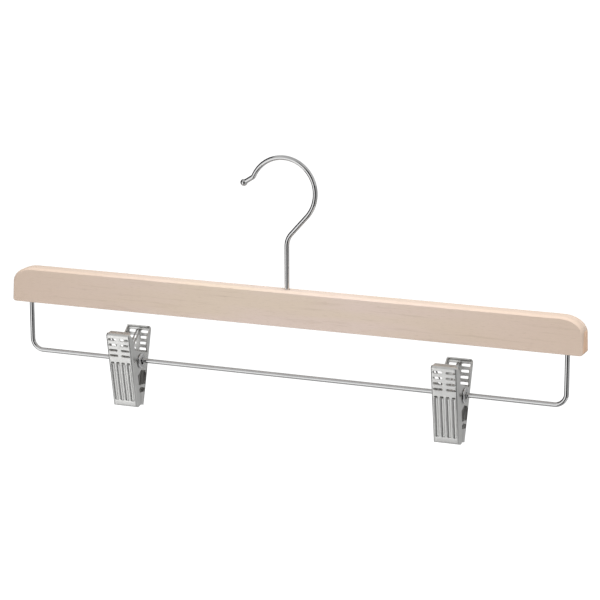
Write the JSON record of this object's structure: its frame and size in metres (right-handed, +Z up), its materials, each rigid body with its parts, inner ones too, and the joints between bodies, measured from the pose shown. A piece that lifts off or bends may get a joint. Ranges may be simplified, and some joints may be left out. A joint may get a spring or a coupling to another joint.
{
  "type": "skirt hanger",
  "caption": "Straight wooden skirt hanger with a swivel wire hook, a bent trouser wire under the bar and sprung metal clips that slide and swing on the wire.",
  "frame": {"origin": "inside the hook's crown, on the swivel axis, where the rail carries the hanger", "axes": "+X to the right along the bar, -Y to the front, +Z up"},
  "size_m": [0.36, 0.0314, 0.1601],
  "materials": {
    "pale_wood": "pale, lightly whitened close-grained wood under a thin matt lacquer",
    "bright_wire": "bright plated steel wire",
    "plated_sheet": "satin plated pressed steel sheet",
    "spring_wire": "plated spring steel wire"
  },
  "bodies": {
    "hook": {"swivel_hook": "bright_wire"},
    "bar": {"wooden_bar": "pale_wood", "trouser_wire": "bright_wire"},
    "left_clip_slider": {"left_clip_eyelet": "bright_wire"},
    "left_clip_front": {"left_clip_front_jaw": "plated_sheet", "left_clip_spring": "spring_wire"},
    "left_clip_rear": {"left_clip_rear_jaw": "plated_sheet"},
    "right_clip_slider": {"right_clip_eyelet": "bright_wire"},
    "right_clip_front": {"right_clip_front_jaw": "plated_sheet", "right_clip_spring": "spring_wire"},
    "right_clip_rear": {"right_clip_rear_jaw": "plated_sheet"}
  },
  "joints": [
    {"name": "hook_swivel", "type": "hinge", "parent": "hook", "child": "bar", "pos_m": [0, 0, 0], "axis": [0, 0, 1], "continuous": true},
    {"name": "left_clip_slide", "type": "slide", "parent": "bar", "child": "left_clip_slider", "axis": [1, 0, 0], "range_m": [-0.049, 0.0937]},
    {"name": "left_clip_swing", "type": "hinge", "parent": "left_clip_slider", "child": "left_clip_front", "pos_m": [-0.1039, 0, -0.12866], "axis": [1, 0, 0], "continuous": true},
    {"name": "left_clip_open", "type": "hinge", "parent": "left_clip_front", "child": "left_clip_rear", "pos_m": [-0.1039, 0, -0.12866], "axis": [1, 0, 0], "range_deg": [0, 45], "stiffness_Nm_per_rad": 0.12, "springref_deg": -68.75, "deforming": ["left_clip_spring"]},
    {"name": "right_clip_slide", "type": "slide", "parent": "bar", "child": "right_clip_slider", "axis": [1, 0, 0], "range_m": [-0.0912, 0.0515]},
    {"name": "right_clip_swing", "type": "hinge", "parent": "right_clip_slider", "child": "right_clip_front", "pos_m": [0.1015, 0, -0.12866], "axis": [1, 0, 0], "continuous": true},
    {"name": "right_clip_open", "type": "hinge", "parent": "right_clip_front", "child": "right_clip_rear", "pos_m": [0.1015, 0, -0.12866], "axis": [1, 0, 0], "range_deg": [0, 45], "stiffness_Nm_per_rad": 0.12, "springref_deg": -68.75, "deforming": ["right_clip_spring"]}
  ]
}
